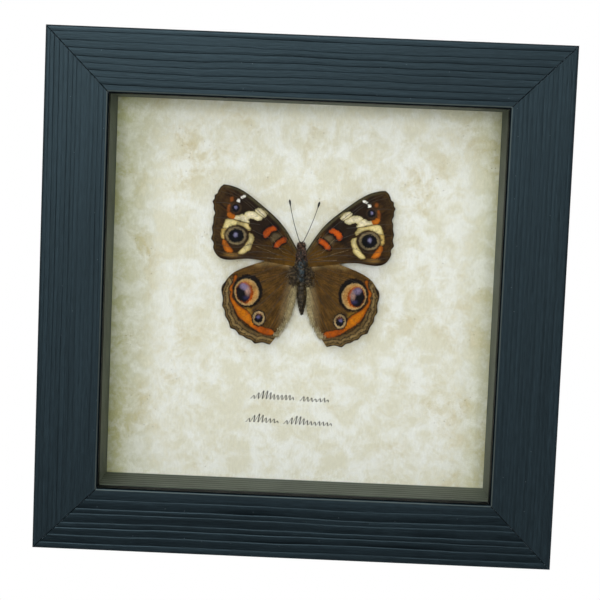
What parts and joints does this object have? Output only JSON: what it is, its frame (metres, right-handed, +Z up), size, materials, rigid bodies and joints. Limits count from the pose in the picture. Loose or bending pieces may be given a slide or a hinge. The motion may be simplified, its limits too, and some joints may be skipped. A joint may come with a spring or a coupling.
{
  "type": "butterfly display case",
  "caption": "Square glazed wooden shadow box with mitred mouldings, holding a spread butterfly in front of a parchment card; turn buttons close its back.",
  "frame": {"origin": "middle of the bottom face that the case stands on", "axes": "+X to the right as the glass is looked at, +Y to the back, +Z up"},
  "size_m": [0.1524, 0.0362, 0.1524],
  "materials": {
    "painted_moulding": "navy painted pine, semi-gloss, grain open",
    "spacer_wood": "olive-grey stained wood, matt",
    "glass": "clear float glass",
    "parchment": "mottled parchment card, matt",
    "foam_board": "white foam board",
    "hardboard": "brown hardboard, smooth",
    "button_steel": "zinc-plated pressed steel",
    "screw_steel": "zinc-plated steel",
    "nail_steel": "bright steel",
    "hanger_brass": "brass-plated pressed strip",
    "felt": "black felt",
    "cork": "cork",
    "insect_body": "dark haired cuticle",
    "insect_eye": "dark facetted eye",
    "insect_antenna": "thin dark antenna",
    "wing_scales": "scaled wing membrane, matt"
  },
  "bodies": {
    "root": {"top_rail": "painted_moulding", "bottom_rail": "painted_moulding", "left_stile": "painted_moulding", "right_stile": "painted_moulding", "corner_v_nails": "nail_steel", "glass_pane": "glass", "top_spacer": "spacer_wood", "bottom_spacer": "spacer_wood", "left_spacer": "spacer_wood", "right_spacer": "spacer_wood", "parchment_card": "parchment", "foam_board": "foam_board", "backing_board": "hardboard", "turn_button_screws": "screw_steel", "sawtooth_hanger": "hanger_brass", "hanger_nails": "nail_steel", "wall_bumpers": "felt", "specimen_riser": "cork", "thorax": "insect_body", "abdomen": "insect_body", "head": "insect_body", "compound_eyes": "insect_eye", "labial_palps": "insect_body", "left_forewing": "wing_scales", "right_forewing": "wing_scales", "left_hindwing": "wing_scales", "right_hindwing": "wing_scales", "left_antenna": "insect_antenna", "right_antenna": "insect_antenna"},
    "button_lower_left": {"turn_button_lower_left": "button_steel"},
    "button_upper_left": {"turn_button_upper_left": "button_steel"},
    "button_lower_right": {"turn_button_lower_right": "button_steel"},
    "button_upper_right": {"turn_button_upper_right": "button_steel"}
  },
  "joints": [
    {"name": "button_lower_left_turn", "type": "hinge", "parent": "root", "child": "button_lower_left", "pos_m": [-0.0702, 0.0171, 0.0382], "axis": [0, 1, 0], "continuous": true},
    {"name": "button_upper_left_turn", "type": "hinge", "parent": "root", "child": "button_upper_left", "pos_m": [-0.0702, 0.0171, 0.1142], "axis": [0, 1, 0], "continuous": true},
    {"name": "button_lower_right_turn", "type": "hinge", "parent": "root", "child": "button_lower_right", "pos_m": [0.0702, 0.0171, 0.0382], "axis": [0, 1, 0], "continuous": true},
    {"name": "button_upper_right_turn", "type": "hinge", "parent": "root", "child": "button_upper_right", "pos_m": [0.0702, 0.0171, 0.1142], "axis": [0, 1, 0], "continuous": true}
  ]
}
